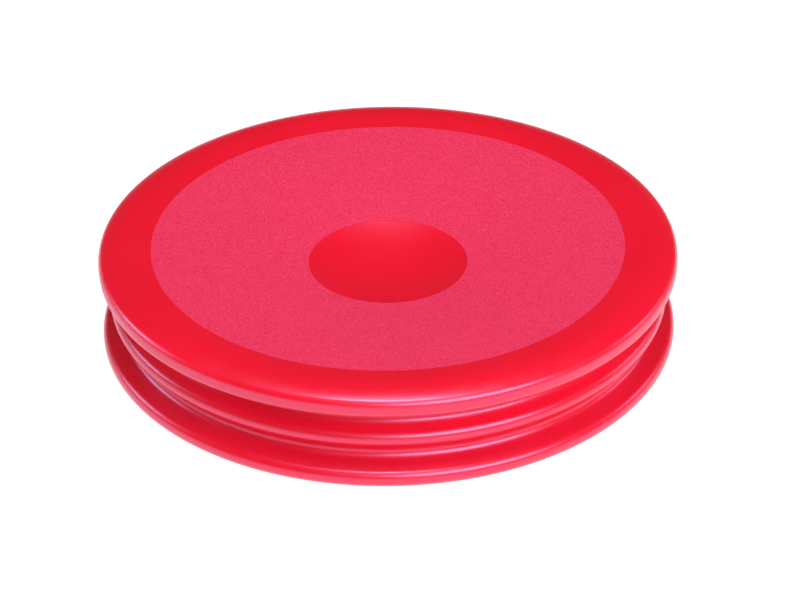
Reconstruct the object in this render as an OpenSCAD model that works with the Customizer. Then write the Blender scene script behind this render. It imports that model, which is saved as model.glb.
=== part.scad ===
// Air-filled bellows balance disc: two dished round plates joined by a folded wall, with a plug valve.
// The disc stands on z = 0 and is centred on the Z axis.
// Sections are drawn with x as the radius and y as the height.

/* [Disc] */
// Diameter over the two rims
disc_d = 330; // [310:1:345]
// Height of the disc standing free
disc_h = 58; // [56:0.5:62]
// Thickness of the moulded wall
wall_t = 2.5; // [1.5:0.1:3]

/* [Plates] */
// Radius of the rounded rim edge
rim_r = 4.8; // [4.2:0.1:5]
// Height of the straight band on the upper rim's edge
upper_rim_side = 2; // [1:0.1:3]
// Height of the straight band on the lower rim's edge
lower_rim_side = 0.5; // [0.3:0.1:1]
// Drop from the upper flat ring to the centre of the rim's upper rounding
upper_shoulder_drop = 6.5; // [6:0.1:7.5]
// Rise from the lower flat ring to the centre of the rim's lower rounding
lower_shoulder_rise = 5.3; // [5.2:0.1:6]
// Width of the crowned shoulder between the flat ring and the rim edge
shoulder_w = 13; // [11:0.5:15]
// Width of the flat ring that the disc rests on
flat_w = 5; // [3:0.5:8]
// Slope of the upper plate down to its centre, in degrees
upper_slope = 9; // [6:0.5:9.5]
// Slope of the lower plate up to its centre, in degrees
lower_slope = 3; // [2:0.5:4]
// Diameter of the round dimple in the middle of each plate
dimple_d = 90; // [80:1:100]
// Depth of the upper dimple
upper_dimple_h = 9; // [6:0.5:10]
// Depth of the lower dimple
lower_dimple_h = 4; // [2:0.5:5]
// Outer diameter of the grained grip rings
grip_d = 270; // [240:1:280]
// Thickness of the grip rings
grip_t = 0.8; // [0.4:0.1:1]
// Width of the smooth edge between a grip ring and the dimple
grip_gap = 1; // [0.8:0.1:2]

/* [Bellows] */
// How far the middle ridge's crest lies inside the rim's edge
ridge_inset = 5.5; // [4.5:0.5:6.5]
// Radius of the middle ridge's section
ridge_r = 4.7; // [4:0.1:5]
// How far the ridge's crest lies below mid-height
ridge_drop = 1.6; // [0:0.1:2]
// How far the upper valley's bottom lies inside the rim's edge
upper_valley_inset = 15; // [14:0.5:16]
// Radius of the upper valley's section
upper_valley_r = 5; // [4:0.1:5.2]
// Height of the upper valley above the ridge
upper_valley_rise = 10.4; // [10:0.1:11.5]
// How far the lower valley's bottom lies inside the rim's edge
lower_valley_inset = 13; // [12.5:0.5:13.5]
// Radius of the lower valley's section
lower_valley_r = 4.5; // [3.5:0.1:5]
// Depth of the lower valley below the ridge
lower_valley_fall = 10.4; // [9.8:0.1:11]
// Gap between two wall sections that move against each other
fold_gap = 0.3; // [0.2:0.05:0.5]

/* [Valve] */
// Outer diameter of the valve collar inside the disc
collar_d = 13; // [11:0.5:16]
// Height of the valve collar above its flange
collar_h = 6.5; // [5:0.5:8]
// Diameter of the valve's bore
bore_d = 5; // [4:0.1:6]
// Radial clearance of the plug in the bore
plug_clearance = 0.05; // [0.02:0.01:0.1]
// Diameter of the plug's head
plug_head_d = 15; // [12:0.5:18]
// Thickness of the plug's head
plug_head_t = 1.4; // [1:0.1:1.8]
// Thickness of the collar's flange
flange_t = 1.9; // [1.5:0.1:3]

/* [Hidden] */
$fn = 96;

disc_r = disc_d / 2;
rim_x = disc_r - rim_r;
flat_out = disc_r - shoulder_w;
flat_in = flat_out - flat_w;
dimple_r = dimple_d / 2;
dish_lip = 0.5;
dish_r = dimple_r + dish_lip;
grip_in = dimple_r + grip_gap;
grip_r = grip_d / 2;

// Cutting shapes reach this far past the surface that they cut
margin = 5;

// Centres of the wall's roundings. Each rim has two, with its straight band between them.
rim_top_c = [rim_x, disc_h - upper_shoulder_drop];
rim_under_c = [rim_x, rim_top_c[1] - upper_rim_side];
ridge_c = [disc_r - ridge_inset - ridge_r, disc_h / 2 - ridge_drop];
upper_valley_c = [disc_r - upper_valley_inset + upper_valley_r, ridge_c[1] + upper_valley_rise];
lower_valley_c = [disc_r - lower_valley_inset + lower_valley_r, ridge_c[1] - lower_valley_fall];
foot_low_c = [rim_x, lower_shoulder_rise];
foot_top_c = [rim_x, foot_low_c[1] + lower_rim_side];

// Each shoulder's arc leaves its flat ring level and runs into the rim's rounding
shoulder_dx = rim_x - flat_out;
function shoulder_radius(drop) =
    (shoulder_dx * shoulder_dx + drop * drop - rim_r * rim_r) / (2 * (drop - rim_r));
upper_shoulder_r = shoulder_radius(upper_shoulder_drop);
lower_shoulder_r = shoulder_radius(lower_shoulder_rise);
upper_shoulder_face = 90 - asin(shoulder_dx / (upper_shoulder_r - rim_r));
lower_shoulder_face = asin(shoulder_dx / (lower_shoulder_r - rim_r)) - 90;

// Direction that a straight flank faces, from the rounding at a to the opposite one at b; side is 1 or -1
function facing(a, ra, b, rb, side) =
    let (d = b - a)
    atan2(d[1], d[0]) + side * acos((ra + rb) / norm(d));

rim_under_face = facing(rim_under_c, rim_r, upper_valley_c, upper_valley_r, 1);
ridge_top_face = facing(ridge_c, ridge_r, upper_valley_c, upper_valley_r, -1);
ridge_under_face = facing(ridge_c, ridge_r, lower_valley_c, lower_valley_r, 1);
foot_top_face = facing(foot_top_c, rim_r, lower_valley_c, lower_valley_r, -1);

// Points of a rounding about c between two directions. A negative r makes it hollow.
// first = 1 leaves out the point that it starts with.
turn_step = 12;
function bend(c, r, from, to, first = 0) =
    let (n = ceil(abs(to - from) / turn_step))
    [for (k = [first:n]) let (a = from + (to - from) * k / n) c + r * [cos(a), sin(a)]];

// Heights where the wall is divided, and how far each lies from the middle of its valley or ridge
upper_root_rise = 4.4;
upper_web_fall = 1;
ridge_half_h = 3.2;
lower_web_rise = 1.8;
lower_root_fall = 3.6;
upper_root_z = upper_valley_c[1] + upper_root_rise;
upper_web_z = upper_valley_c[1] - upper_web_fall;
upper_ridge_z = ridge_c[1] + ridge_half_h;
lower_ridge_z = ridge_c[1] - ridge_half_h;
lower_web_z = lower_valley_c[1] + lower_web_rise;
lower_root_z = lower_valley_c[1] - lower_root_fall;

// Radius inside which nothing belongs to the folded wall
wall_inset = 6;
wall_in = flat_in - wall_inset;

// Height of each plate's outer face at radius x, outside the dimples
function top_z(x) = disc_h - tan(upper_slope) * max(0, flat_in - x);
function bottom_z(x) = tan(lower_slope) * max(0, flat_in - x);

// Sphere that makes a dimple of depth h
function dimple_sphere_r(h) = (dimple_r * dimple_r + h * h) / (2 * h);
upper_sphere_r = dimple_sphere_r(upper_dimple_h);
lower_sphere_r = dimple_sphere_r(lower_dimple_h);
upper_sphere_z = top_z(dimple_r) - upper_dimple_h + upper_sphere_r;
lower_sphere_z = bottom_z(dimple_r) + lower_dimple_h - lower_sphere_r;

// Valve: the plug's head lies in a round opening of the lower dimple, which the collar's flange closes
head_gap = 1;
head_stand = 0.9;
seat_gap = 0.1;
flange_gap = 0.05;
recess_r = plug_head_d / 2 + head_gap;
plug_head_z = bottom_z(dimple_r) + lower_dimple_h - head_stand;
flange_z = plug_head_z + plug_head_t + seat_gap;
plug_shank_r = bore_d / 2 - plug_clearance;
plug_tip_h = 1.5;
plug_tip_taper = 0.7;
plug_shank_h = plug_head_t + flange_t + collar_h - 2 * plug_tip_h;

// The disc's outer surface without its dimples, set in by i, from the top's middle to the bottom's
function outline(i) =
    let (up = i / cos(upper_slope), lo = i / cos(lower_slope))
    concat(
        [[0, top_z(0) - up]],
        [[flat_in + (up - i) / tan(upper_slope), disc_h - i]],
        bend([flat_out, disc_h - upper_shoulder_r], upper_shoulder_r - i, 90, upper_shoulder_face),
        bend(rim_top_c, rim_r - i, upper_shoulder_face, 0, 1),
        bend(rim_under_c, rim_r - i, 0, rim_under_face),
        bend(upper_valley_c, -upper_valley_r - i, rim_under_face, ridge_top_face),
        bend(ridge_c, ridge_r - i, ridge_top_face, ridge_under_face),
        bend(lower_valley_c, -lower_valley_r - i, ridge_under_face, foot_top_face),
        bend(foot_top_c, rim_r - i, foot_top_face, 0),
        bend(foot_low_c, rim_r - i, 0, lower_shoulder_face),
        bend([flat_out, lower_shoulder_r], lower_shoulder_r - i, lower_shoulder_face, -90, 1),
        [[flat_in + (lo - i) / tan(lower_slope), i]],
        [[0, bottom_z(0) + lo]]
    );

// Everything inside the disc's outer surface, set in by i
dimple_facets = 256;
module envelope(i) {
    difference() {
        polygon(outline(i));
        translate([0, upper_sphere_z]) circle(r = upper_sphere_r + i, $fn = dimple_facets);
        translate([0, lower_sphere_z]) circle(r = lower_sphere_r + i, $fn = dimple_facets);
    }
}

module skin() {
    difference() {
        envelope(0);
        envelope(wall_t);
    }
}

// Part of the moulded skin between two radii and two heights
module skin_part(x0, x1, z0, z1) {
    intersection() {
        skin();
        translate([x0, z0]) square([x1 - x0, z1 - z0]);
    }
}

// Part of the folded wall between two heights
module wall_part(z0, z1) {
    skin_part(wall_in, disc_r + margin, z0, z1);
}

// Section of a grip ring, which lies flush in its plate. The recess for it is drawn with some height to spare.
module upper_grip_2d(spare = 0) {
    k = grip_t / cos(upper_slope);
    polygon([[grip_in, top_z(grip_in) + spare], [grip_in, top_z(grip_in) - k],
             [grip_r, top_z(grip_r) - k], [grip_r, top_z(grip_r) + spare]]);
}

module lower_grip_2d(spare = 0) {
    k = grip_t / cos(lower_slope);
    polygon([[grip_in, bottom_z(grip_in) - spare], [grip_in, bottom_z(grip_in) + k],
             [grip_r, bottom_z(grip_r) + k], [grip_r, bottom_z(grip_r) - spare]]);
}

module lower_plate() color("#e00a22") {
    rotate_extrude() {
        difference() {
            skin_part(dish_r, disc_r + margin, -margin, lower_root_z - fold_gap);
            lower_grip_2d(margin);
        }
    }
}

module lower_grip_ring() color("#e62a50") {
    rotate_extrude() lower_grip_2d();
}

module lower_dish() color("#d80a1e") {
    rotate_extrude() skin_part(recess_r, dish_r, -margin, disc_h / 2);
}

module valve_collar() color("#c8101c") {
    difference() {
        translate([0, 0, flange_z]) union() {
            cylinder(r = recess_r - flange_gap, h = flange_t);
            cylinder(d = collar_d, h = flange_t + collar_h);
        }
        translate([0, 0, flange_z - margin]) cylinder(d = bore_d, h = flange_t + collar_h + 2 * margin);
    }
}

module valve_plug() color("#f2f2ee") {
    translate([0, 0, plug_head_z]) union() {
        cylinder(d = plug_head_d, h = plug_head_t);
        cylinder(r = plug_shank_r, h = plug_shank_h);
        translate([0, 0, plug_shank_h])
            cylinder(r1 = plug_shank_r, r2 = plug_shank_r - plug_tip_taper, h = plug_tip_h);
    }
}

module lower_fold_root() color("#c40c1c") {
    rotate_extrude() wall_part(lower_root_z, lower_web_z - fold_gap);
}

module lower_fold_web() color("#cc0c1e") {
    rotate_extrude() wall_part(lower_web_z, lower_ridge_z - fold_gap);
}

module middle_ring() color("#e00a22") {
    rotate_extrude() wall_part(lower_ridge_z, upper_ridge_z - fold_gap);
}

module upper_fold_web() color("#cc0c1e") {
    rotate_extrude() wall_part(upper_ridge_z, upper_web_z - fold_gap);
}

module upper_fold_root() color("#c40c1c") {
    rotate_extrude() wall_part(upper_web_z, upper_root_z - fold_gap);
}

module upper_plate() color("#e80a24") {
    rotate_extrude() {
        difference() {
            union() {
                skin_part(dish_r, wall_in, disc_h / 2, disc_h + margin);
                wall_part(upper_root_z, disc_h + margin);
            }
            upper_grip_2d(margin);
        }
    }
}

module upper_grip_ring() color("#ee2a52") {
    rotate_extrude() upper_grip_2d();
}

module upper_dish() color("#e80a20") {
    rotate_extrude() skin_part(0, dish_r, disc_h / 2, disc_h + margin);
}

lower_plate();
lower_grip_ring();
lower_dish();
valve_collar();
valve_plug();
lower_fold_root();
lower_fold_web();
middle_ring();
upper_fold_web();
upper_fold_root();
upper_plate();
upper_grip_ring();
upper_dish();
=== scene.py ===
import math

import bmesh
import bpy
import numpy as np
from mathutils import Matrix, Quaternion, Vector

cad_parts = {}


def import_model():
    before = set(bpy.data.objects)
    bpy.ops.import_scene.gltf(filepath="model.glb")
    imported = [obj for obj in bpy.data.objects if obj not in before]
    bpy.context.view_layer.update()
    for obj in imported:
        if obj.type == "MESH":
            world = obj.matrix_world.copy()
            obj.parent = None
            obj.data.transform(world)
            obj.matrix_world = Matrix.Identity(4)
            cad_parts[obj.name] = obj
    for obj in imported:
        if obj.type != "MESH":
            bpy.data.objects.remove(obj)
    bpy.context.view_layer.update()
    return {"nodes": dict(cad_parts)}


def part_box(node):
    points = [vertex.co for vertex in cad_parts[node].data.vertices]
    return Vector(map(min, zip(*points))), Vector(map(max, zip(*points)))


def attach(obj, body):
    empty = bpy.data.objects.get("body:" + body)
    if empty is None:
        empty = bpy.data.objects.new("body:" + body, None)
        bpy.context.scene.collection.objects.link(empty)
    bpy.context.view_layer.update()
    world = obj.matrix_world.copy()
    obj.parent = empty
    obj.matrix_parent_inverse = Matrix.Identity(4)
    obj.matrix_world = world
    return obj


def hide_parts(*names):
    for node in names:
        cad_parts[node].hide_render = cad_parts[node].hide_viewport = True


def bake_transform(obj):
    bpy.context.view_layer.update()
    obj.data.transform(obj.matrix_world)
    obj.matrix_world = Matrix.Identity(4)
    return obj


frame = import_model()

# An air-filled bellows balance disc. Every skin piece is a curve of radius and height, turned about Z.
# The wall's pieces are stretches of one such curve.
# Lengths are in metres; MM turns millimetres into metres.
MM = 0.001

# ---------------------------------------------------------------- sizes from the frame
PLATE_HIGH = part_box("upper_plate")[1]
DISC_R = PLATE_HIGH[0]
DISC_H = PLATE_HIGH[2]
GRIP_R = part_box("upper_grip_ring")[1][0]
DISH_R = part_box("upper_dish")[1][0]

# ---------------------------------------------------------------- sizes of the outline
WALL = 2.5 * MM
RIM_R = 4.8 * MM
UPPER_RIM_SIDE = 2.0 * MM
LOWER_RIM_SIDE = 0.5 * MM
UPPER_SHOULDER_DROP = 6.5 * MM
LOWER_SHOULDER_RISE = 5.3 * MM
SHOULDER_W = 13.0 * MM
FLAT_W = 5.0 * MM
RIDGE_INSET = 5.5 * MM
RIDGE_R = 4.7 * MM
RIDGE_DROP = 1.6 * MM
UPPER_VALLEY_INSET = 15.0 * MM
UPPER_VALLEY_R = 5.0 * MM
UPPER_VALLEY_RISE = 10.4 * MM
LOWER_VALLEY_INSET = 13.0 * MM
LOWER_VALLEY_R = 4.5 * MM
LOWER_VALLEY_FALL = 10.4 * MM
UPPER_SLOPE = math.radians(9)
LOWER_SLOPE = math.radians(3)
UPPER_DIMPLE_H = 9.0 * MM
LOWER_DIMPLE_H = 4.0 * MM
DISH_LIP = 0.5 * MM
DIMPLE_R = DISH_R - DISH_LIP
CROWN_ROUND = 30.0 * MM
VALVE_R = 8.5 * MM

# Heights at which the wall is divided. Between each pair it is one stretch, which either moves with one body
# or stays fixed where it was turned.
Z_TOP_RIM = 45.6 * MM
Z_UPPER = (40.2 * MM, 35.0 * MM)
Z_RIDGE = (28.9 * MM, 26.0 * MM)
Z_LOWER = (20.7 * MM, 15.6 * MM)
Z_FOOT_RIM = 9.5 * MM

# ---------------------------------------------------------------- fineness of the meshes
TURNS = 288
BEND_STEP = 0.35 * MM
LINE_STEP = 2.1 * MM
RING_STEP = 4.0 * MM
DIMPLE_STEPS = 60
FEWEST_BEND_STEPS = 4
# The shortest straight flank between two roundings, and how close two points of a curve may lie
LEAST_FLANK = 0.02 * MM
LEAST_GAP = 0.004 * MM
# A radius below ON_AXIS counts as 0, and points within WELD of the axis are joined
ON_AXIS = 1e-7
WELD = 1e-6


# ---------------------------------------------------------------- outline
class Outline:
    """A curve of radius and height, with its outward normals. The object lies on the curve's right."""

    def __init__(self, r, z):
        self.points = [(r, z)]
        self.normals = [None]

    def line(self, r, z, step=LINE_STEP):
        """A straight stretch to radius r and height z, with points about a step apart."""
        r0, z0 = self.points[-1]
        length = math.hypot(r - r0, z - z0)
        n = max(1, math.ceil(length / step))
        normal = (-(z - z0) / length, (r - r0) / length)
        if self.normals[-1] is None:
            self.normals[-1] = normal
        for k in range(1, n + 1):
            t = k / n
            self.points.append((r0 + (r - r0) * t, z0 + (z - z0) * t))
            self.normals.append(normal)

    def bend(self, centre, radius, start, end):
        """A rounding about centre from facing start to facing end. A negative radius makes it hollow."""
        n = max(FEWEST_BEND_STEPS, math.ceil(abs((end - start) * radius) / BEND_STEP))
        for k in range(n + 1):
            a = start + (end - start) * k / n
            normal = (math.cos(a), math.sin(a))
            point = (centre[0] + radius * normal[0], centre[1] + radius * normal[1])
            if k == 0:
                if math.dist(point, self.points[-1]) > LEAST_FLANK:
                    self.line(*point)
                self.normals[-1] = normal
                continue
            self.points.append(point)
            self.normals.append(normal)

    def arrays(self):
        return np.array(self.points), np.array(self.normals)


def facing(a, ra, b, rb, side):
    """Direction that the straight flank faces between a rounding at a and the opposite one at b."""
    d = (b[0] - a[0], b[1] - a[1])
    return math.atan2(d[1], d[0]) + side * math.acos((ra + rb) / math.hypot(*d))


RIM_X = DISC_R - RIM_R
FLAT_OUT = DISC_R - SHOULDER_W
FLAT_IN = FLAT_OUT - FLAT_W
RIM_TOP = (RIM_X, DISC_H - UPPER_SHOULDER_DROP)
RIM_UNDER = (RIM_X, RIM_TOP[1] - UPPER_RIM_SIDE)
FOOT_LOW = (RIM_X, LOWER_SHOULDER_RISE)
FOOT_TOP = (RIM_X, FOOT_LOW[1] + LOWER_RIM_SIDE)
RIDGE_C = (DISC_R - RIDGE_INSET - RIDGE_R, DISC_H / 2 - RIDGE_DROP)
UPPER_VALLEY_C = (DISC_R - UPPER_VALLEY_INSET + UPPER_VALLEY_R, RIDGE_C[1] + UPPER_VALLEY_RISE)
LOWER_VALLEY_C = (DISC_R - LOWER_VALLEY_INSET + LOWER_VALLEY_R, RIDGE_C[1] - LOWER_VALLEY_FALL)
RIM_UNDER_FACE = facing(RIM_UNDER, RIM_R, UPPER_VALLEY_C, UPPER_VALLEY_R, 1)
RIDGE_TOP_FACE = facing(RIDGE_C, RIDGE_R, UPPER_VALLEY_C, UPPER_VALLEY_R, -1)
RIDGE_UNDER_FACE = facing(RIDGE_C, RIDGE_R, LOWER_VALLEY_C, LOWER_VALLEY_R, 1)
FOOT_TOP_FACE = facing(FOOT_TOP, RIM_R, LOWER_VALLEY_C, LOWER_VALLEY_R, -1)
SHOULDER_DX = RIM_X - FLAT_OUT


def shoulder_radius(drop):
    """Radius of the arc that leaves a flat ring level and meets the rim's rounding, drop away in height."""
    return (SHOULDER_DX**2 + drop**2 - RIM_R**2) / (2 * (drop - RIM_R))


UPPER_SHOULDER_R = shoulder_radius(UPPER_SHOULDER_DROP)
LOWER_SHOULDER_R = shoulder_radius(LOWER_SHOULDER_RISE)
UPPER_SHOULDER_FACE = math.pi / 2 - math.asin(SHOULDER_DX / (UPPER_SHOULDER_R - RIM_R))
LOWER_SHOULDER_FACE = math.asin(SHOULDER_DX / (LOWER_SHOULDER_R - RIM_R)) - math.pi / 2


def top_z(r):
    """Height of the upper plate's face at radius r, outside the dimple."""
    return DISC_H - math.tan(UPPER_SLOPE) * max(0.0, FLAT_IN - r)


def bottom_z(r):
    """Height of the lower plate's face at radius r, outside the dimple."""
    return math.tan(LOWER_SLOPE) * max(0.0, FLAT_IN - r)


def crown(outline):
    """Top band, shoulder and rim edge, down to the upper valley."""
    tangent = CROWN_ROUND * math.tan(UPPER_SLOPE / 2)
    level = math.pi / 2
    outline.bend((FLAT_IN + tangent, DISC_H - CROWN_ROUND), CROWN_ROUND, level + UPPER_SLOPE, level)
    outline.bend((FLAT_OUT, DISC_H - UPPER_SHOULDER_R), UPPER_SHOULDER_R, level, UPPER_SHOULDER_FACE)
    outline.bend(RIM_TOP, RIM_R, UPPER_SHOULDER_FACE, 0)
    outline.bend(RIM_UNDER, RIM_R, 0, RIM_UNDER_FACE)


def bellows(outline):
    """Upper valley, middle ridge and lower valley, with the straight flanks between them."""
    outline.bend(UPPER_VALLEY_C, -UPPER_VALLEY_R, RIM_UNDER_FACE, RIDGE_TOP_FACE)
    outline.bend(RIDGE_C, RIDGE_R, RIDGE_TOP_FACE, RIDGE_UNDER_FACE)
    outline.bend(LOWER_VALLEY_C, -LOWER_VALLEY_R, RIDGE_UNDER_FACE, FOOT_TOP_FACE)


def foot(outline):
    """Lower rim edge, lower shoulder, the flat ring that the disc stands on and the sloping underside."""
    outline.bend(FOOT_TOP, RIM_R, FOOT_TOP_FACE, 0)
    outline.bend(FOOT_LOW, RIM_R, 0, LOWER_SHOULDER_FACE)
    outline.bend((FLAT_OUT, LOWER_SHOULDER_R), LOWER_SHOULDER_R, LOWER_SHOULDER_FACE, -math.pi / 2)
    outline.line(FLAT_IN, 0.0)
    outline.line(GRIP_R, bottom_z(GRIP_R))


def whole_wall():
    """The outside from the upper grip ring's edge to the lower one's."""
    outline = Outline(GRIP_R, top_z(GRIP_R))
    crown(outline)
    bellows(outline)
    foot(outline)
    return outline.arrays()


WALL_POINTS, WALL_NORMALS = whole_wall()


def wall_at(height):
    """Where the wall passes a height below its widest point: the index before it, the point and normal."""
    z = WALL_POINTS[:, 1]
    widest = int(np.argmax(WALL_POINTS[:, 0]))
    k = next(k for k in range(widest, len(z) - 1) if z[k] >= height >= z[k + 1])
    t = (z[k] - height) / (z[k] - z[k + 1])
    point = WALL_POINTS[k] * (1 - t) + WALL_POINTS[k + 1] * t
    normal = WALL_NORMALS[k] * (1 - t) + WALL_NORMALS[k + 1] * t
    return k, point, normal / np.linalg.norm(normal)


def wall_between(z_high, z_low):
    """The stretch of the wall from z_high down to z_low. With None it runs to that end of the wall."""
    first, last = 0, len(WALL_POINTS) - 1
    points, normals = [], []
    if z_high is not None:
        before, point, normal = wall_at(z_high)
        points.append(point)
        normals.append(normal)
        first = before + 1
    if z_low is not None:
        last, low_point, low_normal = wall_at(z_low)
    points += list(WALL_POINTS[first : last + 1])
    normals += list(WALL_NORMALS[first : last + 1])
    if z_low is not None:
        points.append(low_point)
        normals.append(low_normal)
    points, normals = np.array(points), np.array(normals)
    apart = np.r_[True, np.linalg.norm(np.diff(points, axis=0), axis=1) > LEAST_GAP]
    return points[apart], normals[apart]


def grip_ring(side):
    """A grained ring's face, from dish to band on top (side 1) and from band to dish below (side -1)."""
    z_at = top_z if side > 0 else bottom_z
    outline = Outline(DISH_R, z_at(DISH_R))
    outline.line(GRIP_R, z_at(GRIP_R), step=RING_STEP)
    points, normals = outline.arrays()
    if side < 0:
        points, normals = points[::-1], -normals[::-1]
    return points, normals


def dimple(edge_z, depth, side, inner_r, slope):
    """A dimple's arc from inner_r out to its edge, with its narrow lip; side is 1 on top and -1 below."""
    sphere = (DIMPLE_R**2 + depth**2) / (2 * depth)
    middle = edge_z - side * depth + side * sphere
    points, normals = [], []
    for k in range(DIMPLE_STEPS + 1):
        r = inner_r + (DIMPLE_R - inner_r) * k / DIMPLE_STEPS
        drop = math.sqrt(sphere * sphere - r * r)
        points.append((r, middle - side * drop))
        normals.append((-r / sphere, side * drop / sphere))
    lip_z = top_z(DISH_R) if side > 0 else bottom_z(DISH_R)
    points.append((DISH_R, lip_z))
    normals.append((-math.sin(slope), side * math.cos(slope)))
    return np.array(points), np.array(normals)


def upper_dimple():
    return dimple(top_z(DIMPLE_R), UPPER_DIMPLE_H, 1, 0.0, UPPER_SLOPE)


def lower_dimple():
    """The underside's dimple, open in the middle for the valve."""
    points, normals = dimple(bottom_z(DIMPLE_R), LOWER_DIMPLE_H, -1, VALVE_R, LOWER_SLOPE)
    return points[::-1], normals[::-1]


# ---------------------------------------------------------------- turning an outline into a closed shell
def turned(name, outer, normals):
    """A closed shell: the outer curve turned about Z, an inner one set in by the wall, and two end faces."""
    inner = outer - normals * WALL
    inner[:, 0] = np.maximum(inner[:, 0], 0.0)
    section = np.vstack([outer, inner[::-1]])
    section_normals = np.vstack([normals, -normals[::-1]])
    m, half = len(section), len(outer)
    angles = np.arange(TURNS) * 2 * math.pi / TURNS
    cos, sin = np.cos(angles), np.sin(angles)
    heights = np.broadcast_to(section[:, 1], (TURNS, m))
    rings = [np.outer(cos, section[:, 0]), np.outer(sin, section[:, 0]), heights]
    verts = np.stack(rings, axis=2).reshape(-1, 3)
    faces, corner_normals = [], []

    def at_turn(i, normal):
        return (normal[0] * cos[i], normal[0] * sin[i], normal[1])

    for i in range(TURNS):
        i2 = (i + 1) % TURNS
        for j in range(m):
            j2 = (j + 1) % m
            if section[j][0] < ON_AXIS and section[j2][0] < ON_AXIS:
                continue
            faces.append((i * m + j, i * m + j2, i2 * m + j2, i2 * m + j))
            near, far = section_normals[j], section_normals[j2]
            if j in (half - 1, m - 1):
                along = (section[j2] - section[j]) / np.linalg.norm(section[j2] - section[j])
                near = far = (-along[1], along[0])
            corner_normals += [at_turn(i, near), at_turn(i, far), at_turn(i2, far), at_turn(i2, near)]
    mesh = bpy.data.meshes.new(name)
    mesh.from_pydata(verts.tolist(), [], faces)
    mesh.polygons.foreach_set("use_smooth", [True] * len(mesh.polygons))
    mesh.normals_split_custom_set(corner_normals)
    if outer[0][0] < ON_AXIS:
        close_axis(mesh)
    obj = bpy.data.objects.new(name, mesh)
    bpy.context.scene.collection.objects.link(obj)
    return obj


def close_axis(mesh):
    """Joins the points that lie together on the axis."""
    b = bmesh.new()
    b.from_mesh(mesh)
    on_axis = [v for v in b.verts if v.co.xy.length < WELD]
    bmesh.ops.remove_doubles(b, verts=on_axis, dist=WELD)
    b.to_mesh(mesh)
    b.free()


# ---------------------------------------------------------------- materials
def linear(hex_colour):
    """Linear RGBA from an sRGB hex colour."""
    values = [int(hex_colour[k : k + 2], 16) / 255 for k in (0, 2, 4)]
    return tuple(v / 12.92 if v <= 0.04045 else ((v + 0.055) / 1.055) ** 2.4 for v in values) + (1.0,)


class Nodes:
    """Small helper for building a material's node tree."""

    def __init__(self, name):
        self.material = bpy.data.materials.new(name)
        self.material.use_nodes = True
        self.tree = self.material.node_tree
        self.shader = self.tree.nodes["Principled BSDF"]
        self.coords = self.tree.nodes.new("ShaderNodeTexCoord").outputs["Object"]

    def put(self, socket, value):
        """Links value to the socket if it is another node's output, and stores it there otherwise."""
        if isinstance(value, bpy.types.NodeSocket):
            self.tree.links.new(value, socket)
        else:
            socket.default_value = value

    def add(self, kind, inputs):
        node = self.tree.nodes.new(kind)
        for key, value in inputs.items():
            self.put(node.inputs[key], value)
        return node

    def noise(self, scale, detail=3.0, roughness=0.5):
        inputs = {"Vector": self.coords, "Scale": scale, "Detail": detail, "Roughness": roughness}
        return self.add("ShaderNodeTexNoise", inputs).outputs["Fac"]

    def ramp(self, source, low, high, start=0.3, end=0.7):
        """Colour from low to high as the source goes from start to end."""
        node = self.add("ShaderNodeValToRGB", {"Fac": source})
        first, last = node.color_ramp.elements
        first.position = start
        first.color = low
        last.position = end
        last.color = high
        return node.outputs["Color"]

    def spread(self, source, low, high):
        """Value from low to high over the middle of a noise's range."""
        inputs = {"Value": source, "To Min": low, "To Max": high, "From Min": 0.3, "From Max": 0.7}
        return self.add("ShaderNodeMapRange", inputs).outputs["Result"]

    def bump(self, source, strength, distance):
        inputs = {"Height": source, "Strength": strength, "Distance": distance}
        return self.add("ShaderNodeBump", inputs).outputs["Normal"]

    def set(self, **values):
        """Sets the shader's sockets, named with underscores for spaces, and returns the material."""
        for key, value in values.items():
            self.put(self.shader.inputs[key.replace("_", " ")], value)
        return self.material


def smooth_skin():
    """Glossy soft plastic: even red, with a faint orange peel and slightly uneven gloss."""
    n = Nodes("smooth_skin")
    return n.set(
        Base_Color=n.ramp(n.noise(scale=14, detail=2), low=linear("EC0822"), high=linear("F20A26")),
        Roughness=n.spread(n.noise(scale=60, detail=4), low=0.29, high=0.34),
        Normal=n.bump(n.noise(scale=420, detail=2), strength=0.06, distance=0.3 * MM),
        IOR=1.6,
        Specular_IOR_Level=1.0,
        Specular_Tint=(0.4, 0.55, 0.95, 1.0),
    )


def grained_skin():
    """Matt ring: a fine moulded grain with a random speckled tone. Its paler, pinker base colour is painted
    sheen for the light the grain scatters.
    """
    n = Nodes("grained_skin")
    speckle = n.noise(scale=1000, detail=2, roughness=0.6)
    grain = n.noise(scale=900, detail=2, roughness=0.6)
    return n.set(
        # The speckle is random tone. The pink in both ramp colours is painted sheen, not the plastic's own
        # red.
        Base_Color=n.ramp(speckle, low=linear("DA1C41"), high=linear("F23962"), start=0.35, end=0.65),
        Roughness=n.spread(n.noise(scale=90), low=0.55, high=0.68),
        Normal=n.bump(grain, strength=0.7, distance=0.3 * MM),
        Specular_IOR_Level=0.35,
        Sheen_Weight=0.05,
        Sheen_Roughness=0.5,
        Sheen_Tint=(1.0, 0.55, 0.7, 1.0),
    )


def valve_rubber():
    """Darker soft plastic of the welded collar."""
    n = Nodes("valve_rubber")
    return n.set(
        Base_Color=n.ramp(n.noise(scale=150), low=linear("9C0818"), high=linear("B40C1E")),
        Roughness=n.spread(n.noise(scale=300), low=0.35, high=0.5),
        Normal=n.bump(n.noise(scale=900), strength=0.1, distance=0.2 * MM),
    )


def plug_plastic():
    """Off-white plug."""
    n = Nodes("plug_plastic")
    return n.set(
        Base_Color=n.ramp(n.noise(scale=200), low=linear("E2E0D8"), high=linear("F0EEE8")),
        Roughness=n.spread(n.noise(scale=400), low=0.35, high=0.48),
        Normal=n.bump(n.noise(scale=1200), strength=0.08, distance=0.2 * MM),
    )


MATERIALS = {f.__name__: f() for f in (smooth_skin, grained_skin, valve_rubber, plug_plastic)}


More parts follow.
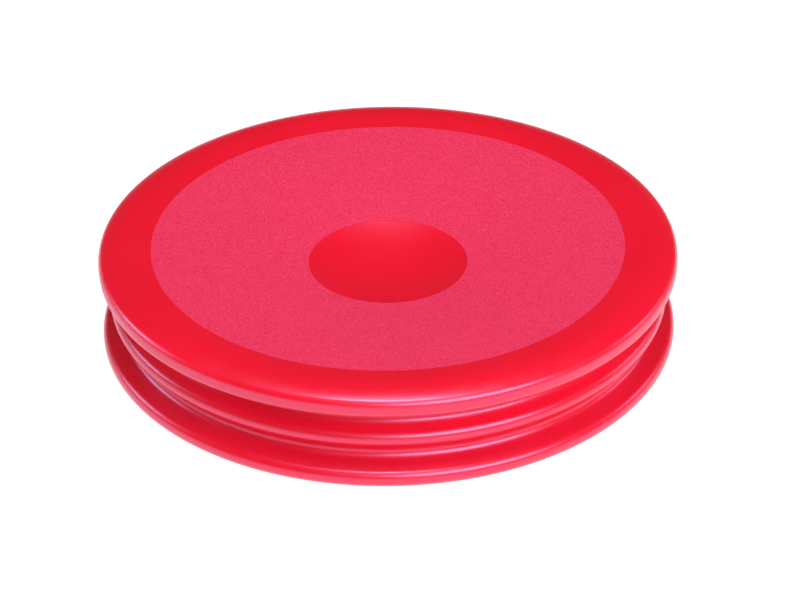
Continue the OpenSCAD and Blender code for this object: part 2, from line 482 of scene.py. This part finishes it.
# ---------------------------------------------------------------- camera
CAMERA_DISTANCE = 9.0 * DISC_R
CAMERA_ELEVATION = math.radians(31.7)
CAMERA_ROLL = math.radians(0.6)
AIM_RIGHT = 6.6 * MM
AIM_DOWN = 11.8 * MM
LENS_MM = 115.9
SENSOR_MM = 36.0
NEAREST = 0.05
FARTHEST = 50.0


def camera():
    """Three-quarter view from above. It aims a little to the right of the disc's middle and below it."""
    centre = Vector((0, 0, DISC_H / 2))
    back = Vector((0, -math.cos(CAMERA_ELEVATION), math.sin(CAMERA_ELEVATION)))
    up = Vector((0, math.sin(CAMERA_ELEVATION), math.cos(CAMERA_ELEVATION)))
    aim = centre + Vector((1, 0, 0)) * AIM_RIGHT - up * AIM_DOWN
    data = bpy.data.cameras.new("camera")
    data.lens = LENS_MM
    data.sensor_width = SENSOR_MM
    data.clip_start = NEAREST
    data.clip_end = FARTHEST
    obj = bpy.data.objects.new("camera", data)
    obj.location = centre + back * CAMERA_DISTANCE
    look = (aim - obj.location).to_track_quat("-Z", "Y")
    obj.rotation_mode = "QUATERNION"
    obj.rotation_quaternion = look @ Quaternion((0, 0, 1), -CAMERA_ROLL)
    bpy.context.scene.collection.objects.link(obj)
    bpy.context.scene.camera = obj


camera()


# ---------------------------------------------------------------- skin pieces
def finish_piece(obj, slot, *nodes):
    """Material, material slot and the CAD nodes that the piece stands for."""
    obj.data.materials.append(MATERIALS[slot])
    if nodes:
        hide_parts(*nodes)


def rigid(name, body, slot, curve, *nodes):
    """A piece turned from a curve, which moves with one body."""
    obj = turned(name, *curve)
    finish_piece(obj, slot, *nodes)
    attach(obj, body)


def fold(name, below, above, z_high, z_low, *nodes):
    """A stretch of the bellows wall, turned and left fixed in place; below and above are not used."""
    obj = turned(name, *wall_between(z_high, z_low))
    finish_piece(obj, "smooth_skin", *nodes)
    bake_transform(obj)


rigid("upper_rim", "top", "smooth_skin", wall_between(None, Z_TOP_RIM), "upper_plate")
rigid("upper_grain_ring", "top", "grained_skin", grip_ring(1), "upper_grip_ring")
rigid("upper_dimple", "top", "smooth_skin", upper_dimple(), "upper_dish")
fold("upper_neck", "upper_root", "top", Z_TOP_RIM, Z_UPPER[0])
fold("upper_valley", "upper_web", "upper_root", Z_UPPER[0], Z_UPPER[1], "upper_fold_root")
fold("upper_flank", "ridge", "upper_web", Z_UPPER[1], Z_RIDGE[0], "upper_fold_web")
rigid("middle_ridge", "ridge", "smooth_skin", wall_between(*Z_RIDGE), "middle_ring")
fold("lower_flank", "lower_web", "ridge", Z_RIDGE[1], Z_LOWER[0])
fold("lower_valley", "lower_root", "lower_web", Z_LOWER[0], Z_LOWER[1], "lower_fold_web")
fold("lower_neck", "base", "lower_root", Z_LOWER[1], Z_FOOT_RIM, "lower_fold_root")
rigid("lower_rim", "base", "smooth_skin", wall_between(Z_FOOT_RIM, None), "lower_plate")
rigid("lower_grain_ring", "base", "grained_skin", grip_ring(-1), "lower_grip_ring")
rigid("lower_dimple", "base", "smooth_skin", lower_dimple(), "lower_dish")


# ---------------------------------------------------------------- valve, kept from the CAD
def paint_cad(node, slot):
    obj = frame["nodes"][node]
    obj.data.materials.clear()
    obj.data.materials.append(MATERIALS[slot])


paint_cad("valve_collar", "valve_rubber")
paint_cad("valve_plug", "plug_plastic")


# ---------------------------------------------------------------- floor and light
FLOOR_HALF = 4.0
FLOOR_GAP = 0.2 * MM
AMBIENT = 0.07
BACKDROP = 1.0


def floor():
    """White floor that glows by itself, so that hardly any shadow shows on it."""
    mesh = bpy.data.meshes.new("floor")
    corners = [(x * FLOOR_HALF, y * FLOOR_HALF, 0) for x, y in ((-1, -1), (1, -1), (1, 1), (-1, 1))]
    mesh.from_pydata(corners, [], [(0, 1, 2, 3)])
    obj = bpy.data.objects.new("floor", mesh)
    obj.location.z = -FLOOR_GAP
    bpy.context.scene.collection.objects.link(obj)
    n = Nodes("floor")
    n.set(
        Base_Color=(0.35, 0.35, 0.35, 1),
        Roughness=0.8,
        Specular_IOR_Level=0.1,
        Emission_Color=(1, 1, 1, 1),
        Emission_Strength=0.92,
    )
    mesh.materials.append(n.material)


def world():
    """Dim surroundings for the gloss, and a white backdrop behind the floor."""
    data = bpy.data.worlds.new("world")
    data.use_nodes = True
    nodes, links = data.node_tree.nodes, data.node_tree.links
    background = nodes["Background"]
    background.inputs["Color"].default_value = (1, 1, 1, 1)
    strength = nodes.new("ShaderNodeMapRange")
    strength.inputs["To Min"].default_value = AMBIENT
    strength.inputs["To Max"].default_value = BACKDROP
    links.new(nodes.new("ShaderNodeLightPath").outputs["Is Camera Ray"], strength.inputs["Value"])
    links.new(strength.outputs["Result"], background.inputs["Strength"])
    bpy.context.scene.world = data


def area_light(name, direction, distance, size, power, colour, across=None):
    """A soft box in the given direction from the disc, facing it, with its long side along across."""
    data = bpy.data.lights.new(name, "AREA")
    data.shape = "RECTANGLE"
    data.size, data.size_y = size
    data.energy = power
    data.color = colour
    obj = bpy.data.objects.new(name, data)
    away = Vector(direction).normalized()
    obj.location = Vector((0, 0, DISC_H / 2)) + away * distance
    obj.rotation_mode = "QUATERNION"
    if across is None:
        obj.rotation_quaternion = away.to_track_quat("Z", "Y")
    else:
        y = away.cross(Vector(across).normalized()).normalized()
        x = y.cross(away)
        obj.rotation_quaternion = Matrix((x, y, away)).transposed().to_quaternion()
    bpy.context.scene.collection.objects.link(obj)


floor()
world()
# The strip makes the bright lines along the front of the bellows, and the zenith light brightens the top.
area_light(
    "strip", direction=(0.40, -0.72, 0.54), distance=1.6, size=(1.3, 0.65), power=22,
    colour=(0.72, 0.92, 1.0), across=(0.87, 0.48, 0),
)
area_light(
    "front", direction=(0.1, -0.62, 0.78), distance=2.4, size=(2.6, 1.0), power=3, colour=(1, 0.90, 0.98)
)
area_light(
    "left", direction=(-0.9, 0.25, 0.36), distance=2.0, size=(0.7, 0.5), power=8, colour=(1, 0.86, 0.98)
)
area_light(
    "right", direction=(0.9, 0.25, 0.36), distance=2.0, size=(0.7, 0.5), power=4, colour=(1, 0.82, 0.98)
)
area_light(
    "zenith", direction=(0.0, -0.12, 1.0), distance=2.0, size=(0.6, 0.6), power=24, colour=(1, 0.90, 0.94)
)
bpy.context.scene.view_settings.view_transform = "Standard"
